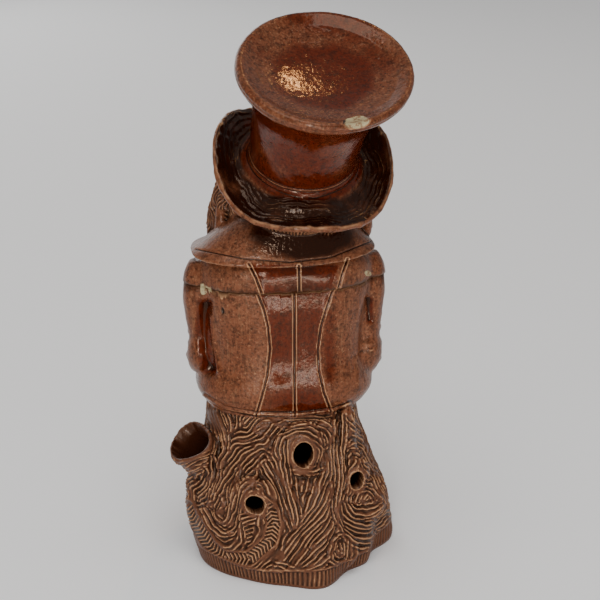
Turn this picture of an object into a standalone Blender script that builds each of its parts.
"""Stoneware tobacco jar: a seated figure in a coat and tall hat on a carved tree stump.

Two pieces: the jar, which is the stump and the figure up to the chest, and the lid,
which is the shoulders, the collar, the head and the hat. The figure faces -Y, its left
hand is at +X, and the jar stands on z = 0 with the middle of its footprint on the origin.
"""

import math

import bmesh
import bpy
from mathutils import Matrix, Vector

# Overall size, in metres. The free forms below are drawn in shares of it: 304 shares high.
FIGURE_HEIGHT = 0.304
SHARE = FIGURE_HEIGHT / 304

# Walls, fits and bores, in metres
JAR_WALL = 0.0050
STUMP_WALL = 0.0060
FLOOR_THICKNESS = 0.0060
LID_WALL = 0.0050
LID_GAP = 0.0003
FLANGE_DEPTH = 0.0060
FLANGE_WALL = 0.0035
FLANGE_CLEARANCE = 0.0012
HAT_WALL = 0.0060
POCKET_WALL = 0.0030
POCKET_FLOOR = 0.0050

# Knot holes through the stump, in metres: bore across, bore height
HIGH_KNOT_BORE = (0.0110, 0.0145)
LOW_KNOT_BORE = (0.0100, 0.0105)
SIDE_KNOT_BORE = (0.0080, 0.0105)

# Fineness of the modelled skin
SKIN_VOXEL = 1.15 * SHARE
JAR_TRIANGLES = 4500
LID_TRIANGLES = 4000
RING_POINTS = 48
BODY_SMOOTH_COUNT = 8
EDGE_SMOOTH_COUNT = 3

# Levels of the figure, in shares
SEAT_LEVEL = 90
SEAM_LEVEL = 161
COLLAR_LEVEL = 175.5
TORSO_AXIS = (3.0, -8.0)
STUMP_Y = -4.0

# Stump: level, centre x, half width, back, front, all in shares
STUMP_SECTIONS = (
    (-4, -0.5, 52, 48, 56),
    (3, -0.5, 53.5, 49.5, 57),
    (9, 0.5, 54.5, 50.5, 56),
    (16, 1.0, 55, 50, 53),
    (28, 2, 55, 48, 51),
    (40, 2.5, 53.5, 46, 49),
    (52, 3, 49.5, 43, 47),
    (64, 3.5, 46, 39.5, 45),
    (76, 4.5, 42.5, 36, 44),
    (86, 5, 41, 32, 43),
    (91, 5, 38, 28, 41),
    (93, 5, 33, 23, 36),
)

# Root lobes round the foot: angle from the back towards -X in degrees, height, width
ROOT_LOBES = (
    (8, 6.5, 13),
    (37, -6.0, 15),
    (97, 6.5, 18),
    (68, -7.0, 14),
    (-38, -1.5, 14),
    (-75, 1.5, 16),
    (140, -3.0, 16),
    (-140, -3.0, 16),
)
LOBE_FADE_LEVEL = 46

# Torso: level, half width, back, front, measured from its axis
SHOULDER_HALF = 48.5
TORSO_SECTIONS = (
    (86, 38, 28, 32),
    (90, 42.5, 32.5, 35),
    (94, 46, 34.5, 36),
    (100, 49, 36.2, 36),
    (108, 47.5, 35.8, 36),
    (116, 44, 34.6, 36.5),
    (126, 43, 33.6, 37),
    (136, 44, 33.2, 36.5),
    (148, 46.5, 33.2, 35.5),
    (158, SHOULDER_HALF, 33.4, 34.5),
    (168, SHOULDER_HALF, 33.4, 33),
    (174, SHOULDER_HALF - 2.5, 32.5, 31),
    (179, SHOULDER_HALF - 8.5, 28, 26),
)
TORSO_POWER = 2.5

# Arms: x from the torso's axis, y, level, radius. The left one is drawn and the right follows.
ARM_PATH = (
    (43, -4, 171, 8.5),
    (45.2, -3, 164, 9.8),
    (45.8, -3, 154, 10.2),
    (44.4, -2.5, 143, 10.2),
    (42.8, -2, 130, 10.0),
    (43.0, -2.5, 119, 11.6),
    (42, -14, 113.5, 10.4),
    (38.5, -30, 111.5, 9.4),
    (34, -43, 110, 9.0),
)
RIGHT_ELBOW_DROP = 5.0
ELBOW_LEVEL = 135
HAND_PLACE = (31, -51, 109.5)
HAND_RADII = (8.4, 9.5, 6.0)
CUFF_RADII = (10.6, 6.5, 10.4)

# Legs: x from the torso's axis, y, level, radius
LEG_PATH = (
    (30, -6, 99, 13.5),
    (33.5, -20, 98, 14),
    (31, -38, 97, 13.4),
    (28.5, -50, 95, 12.8),
    (27.5, -53.5, 84, 11.8),
    (26.5, -54.5, 62, 10.8),
    (25.5, -57, 36, 9.8),
    (25.5, -58.5, 14, 8.6),
)
SHOE_PLACE = (27, -63.5, 8.0)
SHOE_RADII = (9.4, 17, 8.4)

# Collar: a cape that falls from the neck to a squared edge round the shoulders
COLLAR_EDGE = {"x": 4.6, "y": 3, "half": SHOULDER_HALF + 1, "back": 23.6, "front": 38, "power": 2.5}
COLLAR_NECK = {"x": -1.0, "y": -6, "half": 23, "back": 24, "front": 20, "power": 2.1}
COLLAR_RISE = 3.0
COLLAR_LIP = 1.4
COLLAR_BOW = 0.6
COLLAR_NECK_LEVEL = 203
COLLAR_FRONT_DIP = 14

# Head, hair and beard: centre and radii
HEAD = ((-3, -12, 210), (25.5, 27, 33))
NAPE_HAIR = ((-3, 10, 205), (28, 23.5, 15))
LEFT_LOCKS = (((22, -15, 203), (16.5, 15, 16)), ((25, -17, 191), (17.5, 14, 15)))
RIGHT_LOCKS = (((-28, -15, 203), (15, 15, 16)), ((-29, -17, 191), (15, 14, 15)))
BEARD = (
    ((-3, -29, 190), (21, 14, 18)),
    ((-3, -34, 178), (15, 10.5, 15)),
    ((-3, -37, 168), (8.5, 7, 10)),
)
FACE_FORMS = (
    ((-3, -38.8, 212), (3.4, 4.6, 9)),
    ((-3, -42.0, 205.6), (4.6, 4.2, 3.8)),
    ((-7.2, -39.6, 205), (2.6, 3.0, 2.6)),
    ((1.2, -39.6, 205), (2.6, 3.0, 2.6)),
    ((-14.5, -31.5, 205), (8.5, 7.5, 7.5)),
    ((8.5, -31.5, 205), (8.5, 7.5, 7.5)),
    ((-11.5, -34.0, 221.5), (8.5, 5.0, 3.2)),
    ((5.5, -34.0, 221.5), (8.5, 5.0, 3.2)),
    ((-11.5, -34.6, 214.4), (4.6, 3.6, 3.3)),
    ((5.5, -34.6, 214.4), (4.6, 3.6, 3.3)),
    ((-3, -39.5, 193.2), (5.5, 4.0, 2.2)),
    ((-9.5, -39, 198.6), (8.5, 5.0, 3.2)),
    ((3.5, -39, 198.6), (8.5, 5.0, 3.2)),
)

# Coat fronts: aside from the middle, level, radius; drawn on the chest and sunk into it
LAPEL_PATH = ((17, 174, 8.5), (14.5, 162, 9), (12, 148, 8), (11.5, 134, 7), (15, 121, 7), (24, 111, 7))
LAPEL_SINK = 5.0
COLLAR_END_PATH = ((26, 178, 7), (20, 170, 7.5), (15, 163, 6.5))
CRAVAT_FORMS = (((-3, -37, 165), (11, 7, 6)), ((-10, -37, 164), (7, 5, 5)), ((4, -37, 164), (7, 5, 5)))
BUTTON_LEVELS = (152, 143, 134, 125)
BUTTON_RADIUS = 2.6
WAISTCOAT_HEM = ((-13, 117, 4.5), (-6, 113.5, 4.5), (0, 111, 4.5), (6, 113.5, 4.5), (13, 117, 4.5))

# Locks of the hair and the beard: how many, their width and their wave
BEARD_LOCKS = 7
BEARD_TOP = 199
BEARD_FRONT = -43
BEARD_TURN = 13
SIDE_LOCKS = 5
LOCK_RADIUS = 3.4
LOCK_WAVE = 1.8

# Hat: a tall crown that flares to a dished top, on a brim that curls up at its sides
HAT_PLACE = (-6.5, 0, 228)
HAT_TILT_BACK = 25.0
HAT_TILT_RIGHT = 3.0
CROWN_OVAL = 1.07
CROWN_SPIN = -24.0
CROWN_LEAN = 3.6
CROWN_PROFILE = (
    (0, 52.5),
    (15, 53.0),
    (28, 54.6),
    (37, 57.2),
    (41.5, 59.8),
    (44.0, 60.6),
    (45.8, 59.0),
    (45.4, 55.6),
    (42.6, 51.6),
    (37.6, 46.6),
    (33.4, 39),
    (31.0, 29),
    (29.6, 16),
    (28.8, 5),
    (29.4, -1),
    (26, -9),
    (0, -9),
)
BRIM_INNER_RADIUS = 28.0
BRIM_LIP_RADIUS = 47.2
BRIM_THICKNESS = 3.4
BRIM_ROLL = 2.1
BRIM_GUTTER = 6.0
BRIM_LIP_WAVES = (-3.2, -6.0, -4.3, 4.8, 1.0)
BRIM_LEFT_LIFT = 0.5
# How much narrower the brim is over the face
BRIM_FRONT_DRAW = 2.4

# Hollow of the lid: level, centre x, centre y, half width, back, front, in shares
SHOULDER_LEVEL = 168
LID_HOLLOW_SECTIONS = (
    (173, 2.5, -5, 40, 23, 28),
    (182, 1.5, -5, 32.5, 21, 24),
    (193, -1.0, -7, 20.5, 19, 18.5),
    (203, -2.5, -9, 17.5, 18, 18),
    (211, -3.5, -9, 19.5, 19.5, 21),
)
HOLLOW_POWER = 2.2
HAT_HOLLOW_FOOT = (-6, 20)
HAT_ROOF_DRAW = 0.8

# Pocket: a hollow branch stub on the stump's left side
POCKET_MOUTH = (57.5, 9, 72)
POCKET_AXIS = (0.58, 0.25, 0.78)
POCKET_LENGTH = 40
POCKET_MOUTH_RADII = (15.5, 12.8)
POCKET_FOOT_RADII = (9.5, 8.5)

# Knot holes: centre on the bark, radii of the swelling round it, and the bore
HIGH_KNOT = {"at": (-0.5, 34, 74), "swell": (14, 6.5, 17), "bore": HIGH_KNOT_BORE}
LOW_KNOT = {"at": (26.5, 38.5, 48.5), "swell": (13, 6, 14), "bore": LOW_KNOT_BORE}
SIDE_KNOT = {"at": (-31, 27, 54), "swell": (9.5, 7.5, 14), "bore": SIDE_KNOT_BORE}
KNOT_LIP_DROP = 9.5
KNOT_LIP_OUT = 3.0
KNOT_LIP_RADII = (7.5, 3.6, 3.8)
CLOSED_KNOTS = (
    ((-40, 21, 37), (14, 10, 13)),
    ((-24, 38, 14), (9, 6, 11)),
    ((-15, 30, 82), (8, 4, 8)),
    ((38, 28, 26), (15, 8, 17)),
    ((-8, 40, 32), (10, 6, 28)),
    ((-27, 24, 72), (7, 5, 24)),
    ((52, 2, 34), (9, 8, 24)),
    ((-45, -6, 28), (9, 6, 22)),
    ((2, -44, 40), (12, 6, 34)),
)

GLAZE_COLOURS = {"jar": (0.16, 0.055, 0.025, 1.0), "lid": (0.18, 0.05, 0.018, 1.0)}


def scaled(*shares):
    """A place or a set of radii given in shares, in metres."""
    return Vector(shares) * SHARE


def clear_scene():
    for old in list(bpy.data.objects):
        bpy.data.objects.remove(old, do_unlink=True)


def new_collection(name, hidden=False):
    collection = bpy.data.collections.new(name)
    bpy.context.scene.collection.children.link(collection)
    collection.hide_render = hidden
    return collection


def add_object(name, mesh, collection):
    obj = bpy.data.objects.new(name, mesh)
    collection.objects.link(obj)
    return obj


def mesh_of(obj):
    """A free-standing mesh of the object as its modifiers or its curve make it, in place."""
    bpy.context.view_layer.update()
    graph = bpy.context.evaluated_depsgraph_get()
    mesh = bpy.data.meshes.new_from_object(obj.evaluated_get(graph))
    mesh.transform(obj.matrix_world)
    return mesh


def freeze(obj):
    """Replaces the object's mesh by what its modifiers make of it."""
    mesh = mesh_of(obj)
    obj.modifiers.clear()
    obj.matrix_world = Matrix.Identity(4)
    obj.data = mesh
    return obj


def oval(level, centre, half, back, front, power, inset=0.0):
    """A level ring in metres whose back and front have their own depth. inset is in metres."""
    ring = []
    for step in range(RING_POINTS):
        angle = 2 * math.pi * step / RING_POINTS
        sine, cosine = math.sin(angle), math.cos(angle)
        depth = back if cosine > 0 else front
        across = math.copysign(abs(sine) ** (2 / power), sine)
        along = math.copysign(abs(cosine) ** (2 / power), cosine)
        x = centre[0] * SHARE - across * (half * SHARE - inset)
        y = centre[1] * SHARE + along * (depth * SHARE - inset)
        ring.append(Vector((x, y, level * SHARE)))
    return ring


def loft(name, rings, collection, closed=True):
    """Skins rings of equal count, from the first to the last, with flat ends if closed."""
    shape = bmesh.new()
    loops = [[shape.verts.new(point) for point in ring] for ring in rings]
    count = len(rings[0])
    for lower, upper in zip(loops, loops[1:]):
        for i in range(count):
            j = (i + 1) % count
            shape.faces.new((lower[i], lower[j], upper[j], upper[i]))
    if closed:
        shape.faces.new(loops[0])
        shape.faces.new(loops[-1])
    bmesh.ops.recalc_face_normals(shape, faces=shape.faces)
    mesh = bpy.data.meshes.new(name)
    shape.to_mesh(mesh)
    shape.free()
    return add_object(name, mesh, collection)


def ball(name, centre, radii, collection, turn=None):
    """An ellipsoid with its centre and radii in shares."""
    shape = bmesh.new()
    bmesh.ops.create_uvsphere(shape, u_segments=28, v_segments=18, radius=1.0)
    bmesh.ops.scale(shape, vec=scaled(*radii), verts=shape.verts)
    if turn:
        bmesh.ops.transform(shape, matrix=turn, verts=shape.verts)
    bmesh.ops.translate(shape, vec=scaled(*centre), verts=shape.verts)
    mesh = bpy.data.meshes.new(name)
    shape.to_mesh(mesh)
    shape.free()
    return add_object(name, mesh, collection)


def limb(name, path, collection, cyclic=False):
    """A round limb through points of x, y, level and radius, in shares."""
    curve = bpy.data.curves.new(name, "CURVE")
    curve.dimensions = "3D"
    curve.bevel_depth = SHARE
    curve.bevel_resolution = 4
    curve.resolution_u = 6
    curve.use_fill_caps = True
    spline = curve.splines.new("BEZIER")
    spline.bezier_points.add(len(path) - 1)
    spline.use_cyclic_u = cyclic
    for point, (x, y, level, radius) in zip(spline.bezier_points, path):
        point.co = scaled(x, y, level)
        point.radius = radius
        point.handle_left_type = "AUTO"
        point.handle_right_type = "AUTO"
    guide = add_object(name, curve, collection)
    mesh = mesh_of(guide)
    bpy.data.objects.remove(guide, do_unlink=True)
    shape = bmesh.new()
    shape.from_mesh(mesh)
    bmesh.ops.remove_doubles(shape, verts=shape.verts, dist=0.01 * SHARE)
    shape.to_mesh(mesh)
    shape.free()
    return add_object(name, mesh, collection)


def drop_bubbles(mesh):
    """Leaves only the skin with the most corners, without the closed voids between forms."""
    shape = bmesh.new()
    shape.from_mesh(mesh)
    waiting = set(shape.verts)
    skins = []
    while waiting:
        edge = [waiting.pop()]
        skin = set(edge)
        while edge:
            for link in edge.pop().link_edges:
                for vertex in link.verts:
                    if vertex not in skin:
                        skin.add(vertex)
                        edge.append(vertex)
        waiting -= skin
        skins.append(skin)
    skins.sort(key=len)
    lost = [vertex for skin in skins[:-1] for vertex in skin]
    bmesh.ops.delete(shape, geom=lost, context="VERTS")
    shape.to_mesh(mesh)
    shape.free()


def melt(name, forms, smooth_count, collection):
    """Runs overlapping forms together into one skin and softens the joins."""
    shape = bmesh.new()
    for form in forms:
        shape.from_mesh(mesh_of(form))
    mesh = bpy.data.meshes.new(name)
    shape.to_mesh(mesh)
    shape.free()
    skin = add_object(name, mesh, collection)
    remesh = skin.modifiers.new("one skin", "REMESH")
    remesh.mode = "VOXEL"
    remesh.voxel_size = SKIN_VOXEL
    soften = skin.modifiers.new("soft joins", "SMOOTH")
    soften.factor = 0.5
    soften.iterations = round(smooth_count)
    freeze(skin)
    drop_bubbles(skin.data)
    return skin


def facet(skin, triangles):
    """Reduces a skin to about a number of triangles."""
    held = sum(len(face.vertices) - 2 for face in skin.data.polygons)
    step = skin.modifiers.new("facets", "DECIMATE")
    step.ratio = min(1.0, triangles / held)
    step.use_collapse_triangulate = True
    return freeze(skin)


def combine(target, other, operation):
    """Adds a shape to the target, cuts it away or keeps only what is inside it."""
    step = target.modifiers.new(operation.lower(), "BOOLEAN")
    step.operation = operation
    step.object = other
    freeze(target)


def slab(name, low, high, collection):
    """A block far wider than the jar, between two levels in metres."""
    reach = 2 * FIGURE_HEIGHT
    shape = bmesh.new()
    bmesh.ops.create_cube(shape, size=1.0)
    bmesh.ops.scale(shape, vec=(reach, reach, high - low), verts=shape.verts)
    bmesh.ops.translate(shape, vec=(0, 0, (high + low) / 2), verts=shape.verts)
    mesh = bpy.data.meshes.new(name)
    shape.to_mesh(mesh)
    shape.free()
    return add_object(name, mesh, collection)


def stump_ring(level, centre_x, half, back, front, inset=0.0):
    """A ring of the stump, with the root lobes swelling towards the floor."""
    ring = oval(level, (centre_x, STUMP_Y), half, back - STUMP_Y, front + STUMP_Y, 2.1, inset)
    fade = max(0.0, 1 - max(level, 0) / LOBE_FADE_LEVEL)
    for point in ring:
        angle = math.degrees(math.atan2(-point.x, point.y))
        swell = 0.0
        for at, height, width in ROOT_LOBES:
            away = (angle - at + 180) % 360 - 180
            swell += height * math.exp(-((away / width) ** 2))
        reach = math.hypot(point.x, point.y)
        growth = 1 + fade * swell * SHARE / reach
        point.x *= growth
        point.y *= growth
    return ring


def torso_sizes(level):
    """The torso's half width, back and front at any level, read between the drawn sections."""
    sections = TORSO_SECTIONS
    below = max((s for s in sections if s[0] <= level), default=sections[0])
    above = min((s for s in sections if s[0] >= level), default=sections[-1])
    span = above[0] - below[0]
    mix = (level - below[0]) / span if span else 0.0
    return [b + (a - b) * mix for b, a in zip(below[1:], above[1:])]


def torso_ring(level, inset=0.0):
    return oval(level, TORSO_AXIS, *torso_sizes(level), TORSO_POWER, inset)


def chest_place(aside, level, sink=0.0):
    """A place on the front of the torso, that far aside from its middle, in shares."""
    half, _, front = torso_sizes(level)
    depth = front * (1 - (abs(aside) / half) ** TORSO_POWER) ** (1 / TORSO_POWER)
    return (TORSO_AXIS[0] + aside, TORSO_AXIS[1] - depth + sink, level)


def collar_form(collection):
    """The cape collar: a squared edge that rises at the shoulders, drawn in to the neck."""
    rings = []
    for lift, mix in ((0, 0.0), (COLLAR_LIP, 0.0), (0, 0.2), (0, 0.4), (0, 0.6), (0, 0.8), (0, 1.0)):
        bow = COLLAR_BOW * math.sin(math.pi * mix)
        now = {key: COLLAR_EDGE[key] + (COLLAR_NECK[key] - COLLAR_EDGE[key]) * mix for key in COLLAR_EDGE}
        sizes = (now["half"] + bow, now["back"] + bow, now["front"] + bow)
        ring = oval(0, (now["x"], now["y"]), *sizes, now["power"])
        for point in ring:
            out = min(1.0, abs(point.x / SHARE - now["x"]) / now["half"])
            ahead = max(0.0, (now["y"] - point.y / SHARE) / now["front"])
            low = COLLAR_LEVEL + COLLAR_RISE * out**2 + lift
            high = COLLAR_NECK_LEVEL - COLLAR_FRONT_DIP * ahead
            point.z = (low + (high - low) * mix) * SHARE
        rings.append(ring)
    return loft("collar form", rings, collection)


def hat_frame():
    """Where the hat sits: pushed back on the head and a little to the figure's right."""
    back = Matrix.Rotation(math.radians(-HAT_TILT_BACK), 4, "X")
    right = Matrix.Rotation(math.radians(-HAT_TILT_RIGHT), 4, "Y")
    return Matrix.Translation(scaled(*HAT_PLACE)) @ back @ right


def crown_form(collection):
    """The hat's crown: turned from its profile, drawn to an oval and leaned to one side."""
    mesh = bpy.data.meshes.new("crown profile")
    points = [scaled(radius, 0, level) for radius, level in CROWN_PROFILE]
    mesh.from_pydata(points, [(i, i + 1) for i in range(len(points) - 1)], [])
    crown = add_object("crown form", mesh, collection)
    turn = crown.modifiers.new("turned", "SCREW")
    turn.steps = turn.render_steps = RING_POINTS
    turn.use_merge_vertices = True
    turn.merge_threshold = 0.0001
    freeze(crown)
    for vertex in crown.data.vertices:
        vertex.co = crown_place(vertex.co)
    return crown


def crown_place(point):
    """Takes a point of the round, upright crown to its place on the oval, leaning hat."""
    top = CROWN_PROFILE[0][1] * SHARE
    spin = Matrix.Rotation(math.radians(CROWN_SPIN), 4, "Z")
    oval_point = spin @ Matrix.Diagonal((1, CROWN_OVAL, 1, 1)) @ spin.inverted() @ Vector(point)
    oval_point.x -= CROWN_LEAN * SHARE * max(0.0, point[2] / top) ** 2
    return hat_frame() @ oval_point


def brim_point(mix, angle):
    """A point of the brim: mix is 0 at the crown and 1 at the lip, the angle is 0 at the back."""
    sine, cosine = math.sin(angle), math.cos(angle)
    lip = sum(wave * math.cos(turns * angle) for turns, wave in enumerate(BRIM_LIP_WAVES))
    lip -= BRIM_LEFT_LIFT * sine
    curl = max(0.0, lip) * mix**2.2 + min(0.0, lip) * mix
    gutter = BRIM_GUTTER * math.sin(math.pi * mix**0.8) * (1 - 0.35 * cosine**2)
    reach = BRIM_LIP_RADIUS - BRIM_INNER_RADIUS - BRIM_FRONT_DRAW * max(0.0, 0.35 - cosine)
    radius = BRIM_INNER_RADIUS + reach * mix
    return hat_frame() @ scaled(-radius * sine, radius * cosine, curl - gutter)


def brim_forms(collection):
    """The brim: a rolled sheet given its thickness, and the round roll of its lip."""
    angles = [2 * math.pi * i / RING_POINTS for i in range(RING_POINTS)]
    mixes = [-0.15, 0, 0.15, 0.3, 0.45, 0.6, 0.75, 0.9, 1]
    rings = [[brim_point(max(0, mix), angle) for angle in angles] for mix in mixes]
    middle = hat_frame().translation
    rings[0] = [middle + (point - middle) * 0.85 for point in rings[1]]
    sheet = loft("brim form", rings, collection, closed=False)
    wall = sheet.modifiers.new("thickness", "SOLIDIFY")
    wall.thickness = BRIM_THICKNESS * SHARE
    wall.offset = 0.0
    freeze(sheet)
    lip = [tuple(point / SHARE) + (BRIM_ROLL,) for point in rings[-1][::3]]
    return [sheet, limb("brim lip", lip, collection, cyclic=True)]


def arm_forms(collection):
    """Both sleeves, bent at the elbow, and the hands that rest on the knees."""
    forms = []
    for side, drop in ((1, 0.0), (-1, RIGHT_ELBOW_DROP)):
        path = []
        for x, y, level, radius in ARM_PATH:
            lower = drop if y > HAND_PLACE[1] / 2 and level < ELBOW_LEVEL else 0.0
            path.append((TORSO_AXIS[0] + side * x, y, level - lower, radius))
        forms.append(limb("sleeve form", path, collection))
        x, y, level = HAND_PLACE
        hand = (TORSO_AXIS[0] + side * x, y, level)
        forms.append(ball("hand form", hand, HAND_RADII, collection))
        forms.append(ball("cuff form", path[-1][:3], CUFF_RADII, collection))
    return forms


def leg_forms(collection):
    """Thighs along the seat, knees over its edge and shoes on the roots."""
    forms = []
    for side in (1, -1):
        path = [(TORSO_AXIS[0] + side * x, y, level, r) for x, y, level, r in LEG_PATH]
        forms.append(limb("leg form", path, collection))
        x, y, level = SHOE_PLACE
        shoe = (TORSO_AXIS[0] + side * x, y, level)
        forms.append(ball("shoe form", shoe, SHOE_RADII, collection))
    return forms


def chest_limb(name, stops, sink, collection):
    """A limb laid on the chest through stops of how far aside, level and radius."""
    path = [chest_place(aside, level, sink) + (radius,) for aside, level, radius in stops]
    return limb(name, path, collection)


def coat_forms(collection):
    """Lapels down the open coat, the cravat between them and the buttoned waistcoat."""
    forms = [ball("cravat form", *form, collection) for form in CRAVAT_FORMS]
    for side in (1, -1):
        for stops in (LAPEL_PATH, COLLAR_END_PATH):
            mirrored = [(side * aside, level, radius) for aside, level, radius in stops]
            forms.append(chest_limb("lapel form", mirrored, LAPEL_SINK, collection))
    forms.append(chest_limb("waistcoat hem", WAISTCOAT_HEM, 3.0, collection))
    for level in BUTTON_LEVELS:
        size = (BUTTON_RADIUS,) * 3
        forms.append(ball("button form", chest_place(0, level), size, collection))
    return forms


def lock_forms(collection):
    """Wavy locks down the beard and the side hair, thinning to their tips."""
    forms = []
    for index in range(BEARD_LOCKS):
        out = 2 * index / (BEARD_LOCKS - 1) - 1
        drop = 34 - 12 * out**2
        path = []
        for step in range(6):
            down = step / 5
            sway = LOCK_WAVE * math.sin(math.pi * (2 * down + index))
            x = HEAD[0][0] + out * (19 - 8 * down) + sway
            y = BEARD_FRONT + BEARD_TURN * out**2 - 1.5 * math.sin(math.pi * down) + 1.5 * down
            path.append((x, y, BEARD_TOP - 3 * out**2 - drop * down, LOCK_RADIUS * (1 - 0.55 * down)))
        forms.append(limb("beard lock", path, collection))
    for side, masses in ((1, LEFT_LOCKS), (-1, RIGHT_LOCKS)):
        (x, y, level), (across, along, tall) = masses[0]
        for index in range(SIDE_LOCKS):
            turn = math.radians(-70 + 35 * index)
            path = []
            for step in range(6):
                down = step / 5
                swell = 0.62 + 0.3 * math.sin(math.pi * (0.1 + 0.6 * down))
                sway = LOCK_WAVE * math.sin(math.pi * (2 * down + index))
                place_x = x + side * (across * math.cos(turn) * swell + 3.5 * down)
                place_y = y + along * math.sin(turn) * swell + sway
                path.append((place_x, place_y, level + tall * 0.8 - 34 * down, LOCK_RADIUS))
            forms.append(limb("side lock", path, collection))
    return forms


def pocket_ring(along, radii, trim=0.0):
    """A ring across the branch stub, at a distance in shares from its mouth."""
    axis = Vector(POCKET_AXIS).normalized()
    across = Vector((-axis.y, axis.x, 0)).normalized()
    upward = axis.cross(across)
    centre = scaled(*POCKET_MOUTH) - axis * along * SHARE
    ring = []
    for step in range(RING_POINTS // 2):
        angle = 4 * math.pi * step / RING_POINTS
        wave = 1 + 0.07 * math.sin(3 * angle + 0.6)
        spoke = across * math.cos(angle) * (radii[0] * SHARE - trim)
        spoke += upward * math.sin(angle) * (radii[1] * SHARE - trim)
        ring.append(centre + spoke * wave)
    return ring


def pocket_rings(stops, trim=0.0):
    """Rings along the branch stub, narrowing from its mouth to its foot."""
    rings = []
    for along in stops:
        mix = max(0.0, along / POCKET_LENGTH)
        radii = [m + (f - m) * mix for m, f in zip(POCKET_MOUTH_RADII, POCKET_FOOT_RADII)]
        rings.append(pocket_ring(along, radii, trim))
    return rings


def pocket_form(collection):
    stops = (0, POCKET_LENGTH * 0.5, POCKET_LENGTH)
    return loft("pocket form", pocket_rings(stops), collection)


def pocket_hollow(collection):
    """The bore of the branch stub, which ends short of the stub's foot."""
    foot = POCKET_LENGTH - POCKET_FLOOR / SHARE
    stops = (-POCKET_LENGTH * 0.2, 0, POCKET_LENGTH * 0.5, foot)
    return loft("pocket hollow", pocket_rings(stops, POCKET_WALL), collection)


def outward(place):
    """The level direction from the stump's axis to a knot."""
    return Vector((place[0] - 3, place[1] - STUMP_Y, 0)).normalized()


def swelling(at, radii, collection):
    """A swelling of the bark: its radii run along the bark, out of it and upright."""
    way = outward(at)
    turn = Matrix.Rotation(math.atan2(way.y, way.x) - math.pi / 2, 4, "Z")
    return ball("swelling", at, radii, collection, turn)


def knot_forms(knot, collection):
    """The swelling round a knot hole and the lip that stands out under the hole."""
    x, y, level = knot["at"]
    out = outward(knot["at"]) * (knot["swell"][1] - KNOT_LIP_RADII[1] + KNOT_LIP_OUT / 2)
    lip = (x + out.x, y + out.y, level - KNOT_LIP_DROP)
    return [swelling(knot["at"], knot["swell"], collection), swelling(lip, KNOT_LIP_RADII, collection)]


def knot_bore(knot, collection):
    """A plug to cut a knot hole level and straight to the back, through the stump's wall."""
    across, tall = knot["bore"]
    centre = scaled(*knot["at"])
    reach = knot["swell"][1] * SHARE + 3 * STUMP_WALL
    rings = []
    for along in (reach, -reach):
        ring = []
        for step in range(RING_POINTS // 2):
            angle = 4 * math.pi * step / RING_POINTS
            spoke = Vector((math.cos(angle) * across, 0, math.sin(angle) * tall)) / 2
            ring.append(centre + Vector((0, along, 0)) + spoke)
        rings.append(ring)
    return loft("knot bore", rings, collection)


def jar_hollow(collection):
    """The tobacco chamber, from above the seat to past the lid's seam."""
    floor = SEAT_LEVEL + FLOOR_THICKNESS / SHARE
    levels = [level for level, *_ in TORSO_SECTIONS if floor + 3 < level < SEAM_LEVEL]
    rings = [torso_ring(floor, JAR_WALL + 0.006), torso_ring(floor + 3, JAR_WALL + 0.001)]
    rings += [torso_ring(level, JAR_WALL) for level in levels + [SEAM_LEVEL]]
    rings.append([point + Vector((0, 0, 0.02)) for point in rings[-1]])
    return loft("jar hollow", [ring[::2] for ring in rings], collection)


def stump_hollow(collection):
    """The hollow under the seat, open at the foot, with the pocket's wall left standing."""
    rings = []
    for section in STUMP_SECTIONS:
        if section[0] < SEAT_LEVEL - 8:
            rings.append(stump_ring(*section, inset=STUMP_WALL))
    rings[0] = [point - Vector((0, 0, 0.01)) for point in rings[0]]
    last = rings[-1]
    middle = sum(last, Vector()) / len(last)
    dome = Vector((0, 0, SEAT_LEVEL * SHARE - middle.z))
    rings.append([middle + (p - middle) * 0.9 + dome * 0.6 for p in last])
    rings.append([middle + (p - middle) * 0.6 + dome for p in last])
    hollow = loft("stump hollow", [ring[::2] for ring in rings], collection)
    combine(hollow, pocket_form(collection), "DIFFERENCE")
    return hollow


def lid_hollow(collection):
    """The lid's hollow: up through the flange, the shoulders and the head into the hat."""
    seam = torso_ring(SEAM_LEVEL, JAR_WALL + FLANGE_CLEARANCE + FLANGE_WALL)
    rings = [[point - Vector((0, 0, 2 * FLANGE_DEPTH)) for point in seam], seam]
    rings.append(torso_ring(SHOULDER_LEVEL, LID_WALL))
    for level, x, y, half, back, front in LID_HOLLOW_SECTIONS:
        rings.append(oval(level, (x, y), half, back, front, HOLLOW_POWER))
    wall = HAT_WALL / SHARE
    roof = CROWN_PROFILE[0][1] - wall
    side = [(radius, level) for radius, level in reversed(CROWN_PROFILE) if 0 < level < roof - wall / 2]
    sides = [(level, radius - wall) for radius, level in side]
    stops = [HAT_HOLLOW_FOOT] + sides + [(roof, sides[-1][1] * HAT_ROOF_DRAW)]
    for level, radius in stops:
        ring = oval(level, (0, 0), radius, radius, radius, 2.0)
        rings.append([crown_place(point) for point in ring])
    return loft("lid hollow", [ring[::2] for ring in rings], collection)


def flange_form(collection):
    """The plug under the lid that drops inside the jar's mouth."""
    ring = torso_ring(SEAM_LEVEL, JAR_WALL + FLANGE_CLEARANCE)
    low = [point - Vector((0, 0, FLANGE_DEPTH)) for point in ring]
    high = [point + scaled(0, 0, 3) for point in ring]
    return loft("flange form", [low, high], collection)


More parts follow.
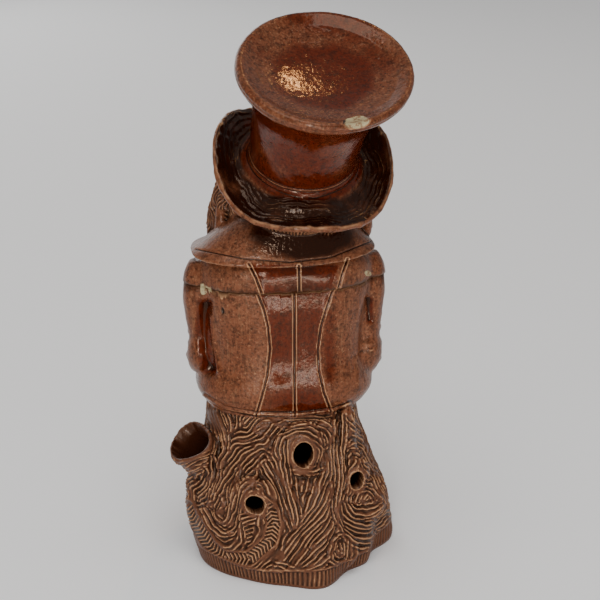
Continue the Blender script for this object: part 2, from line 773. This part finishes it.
def finish_piece(piece, name, collection):
    """Names the piece, gives it its glaze and shades it smooth over its gentle folds."""
    glaze = bpy.data.materials.new(name + " glaze")
    glaze.use_nodes = True
    shader = glaze.node_tree.nodes["Principled BSDF"]
    shader.inputs["Base Color"].default_value = GLAZE_COLOURS[name]
    shader.inputs["Roughness"].default_value = 0.3
    shader.inputs["Metallic"].default_value = 0.0
    mesh = piece.data
    mesh.materials.clear()
    mesh.materials.append(glaze)
    mesh.shade_smooth()
    mesh.set_sharp_from_angle(angle=math.radians(40))
    made = add_object(name, mesh, collection)
    bpy.data.objects.remove(piece, do_unlink=True)
    return made


def body_forms(low, high, collection):
    """The torso between two levels, with the sleeves and the coat's front."""
    inside = [level for level, *_ in TORSO_SECTIONS if low < level < high]
    rings = [torso_ring(level) for level in [low] + inside + [high]]
    shapes = [loft("torso form", rings, collection)]
    return shapes + arm_forms(collection) + coat_forms(collection)


def build_jar(forms, pieces):
    """The stump, the seated figure up to the chest, the chamber and the hollow stump."""
    sections = [stump_ring(*section) for section in STUMP_SECTIONS]
    shapes = [loft("stump form", sections, forms)]
    shapes += body_forms(TORSO_SECTIONS[0][0], SEAM_LEVEL + 6, forms) + leg_forms(forms)
    for knot in (HIGH_KNOT, LOW_KNOT, SIDE_KNOT):
        shapes += knot_forms(knot, forms)
    shapes += [swelling(*knot, forms) for knot in CLOSED_KNOTS]
    body = melt("jar body", shapes, BODY_SMOOTH_COUNT, forms)
    jar = melt("jar skin", [body, pocket_form(forms)], EDGE_SMOOTH_COUNT, forms)
    facet(jar, JAR_TRIANGLES)
    combine(jar, slab("below the seam", 0.0, SEAM_LEVEL * SHARE, forms), "INTERSECT")
    combine(jar, stump_hollow(forms), "DIFFERENCE")
    combine(jar, pocket_hollow(forms), "DIFFERENCE")
    for knot in (HIGH_KNOT, LOW_KNOT, SIDE_KNOT):
        combine(jar, knot_bore(knot, forms), "DIFFERENCE")
    combine(jar, jar_hollow(forms), "DIFFERENCE")
    return finish_piece(jar, "jar", pieces)


def build_lid(forms, pieces):
    """The shoulders, collar, head and hat, hollow, with a flange under the seam."""
    shapes = body_forms(SEAM_LEVEL - 6, TORSO_SECTIONS[-1][0], forms)
    shapes += [ball("head form", *form, forms) for form in (HEAD, NAPE_HAIR)]
    shapes += [ball("lock form", *lock, forms) for lock in LEFT_LOCKS + RIGHT_LOCKS + BEARD]
    shapes.append(crown_form(forms))
    body = melt("lid body", shapes, BODY_SMOOTH_COUNT, forms)
    edges = [body, collar_form(forms)] + brim_forms(forms)
    edges += [ball("face form", *form, forms) for form in FACE_FORMS] + lock_forms(forms)
    lid = melt("lid skin", edges, EDGE_SMOOTH_COUNT, forms)
    facet(lid, LID_TRIANGLES)
    base = SEAM_LEVEL * SHARE + LID_GAP
    combine(lid, slab("above the seam", base, 2 * FIGURE_HEIGHT, forms), "INTERSECT")
    combine(lid, flange_form(forms), "UNION")
    combine(lid, lid_hollow(forms), "DIFFERENCE")
    return finish_piece(lid, "lid", pieces)


def centre(pieces):
    """Moves the pieces together so that the middle of their footprint is on the origin."""
    corners = [vertex.co for piece in pieces for vertex in piece.data.vertices]
    middle = [(max(c[axis] for c in corners) + min(c[axis] for c in corners)) / 2 for axis in (0, 1)]
    for piece in pieces:
        piece.data.transform(Matrix.Translation((-middle[0], -middle[1], 0)))


def main():
    clear_scene()
    pieces = new_collection("tobacco jar")
    forms = new_collection("forms and cutters", hidden=True)
    centre([build_jar(forms, pieces), build_lid(forms, pieces)])
    for helper in forms.objects:
        helper.hide_render = True
        helper.display_type = "WIRE"


main()
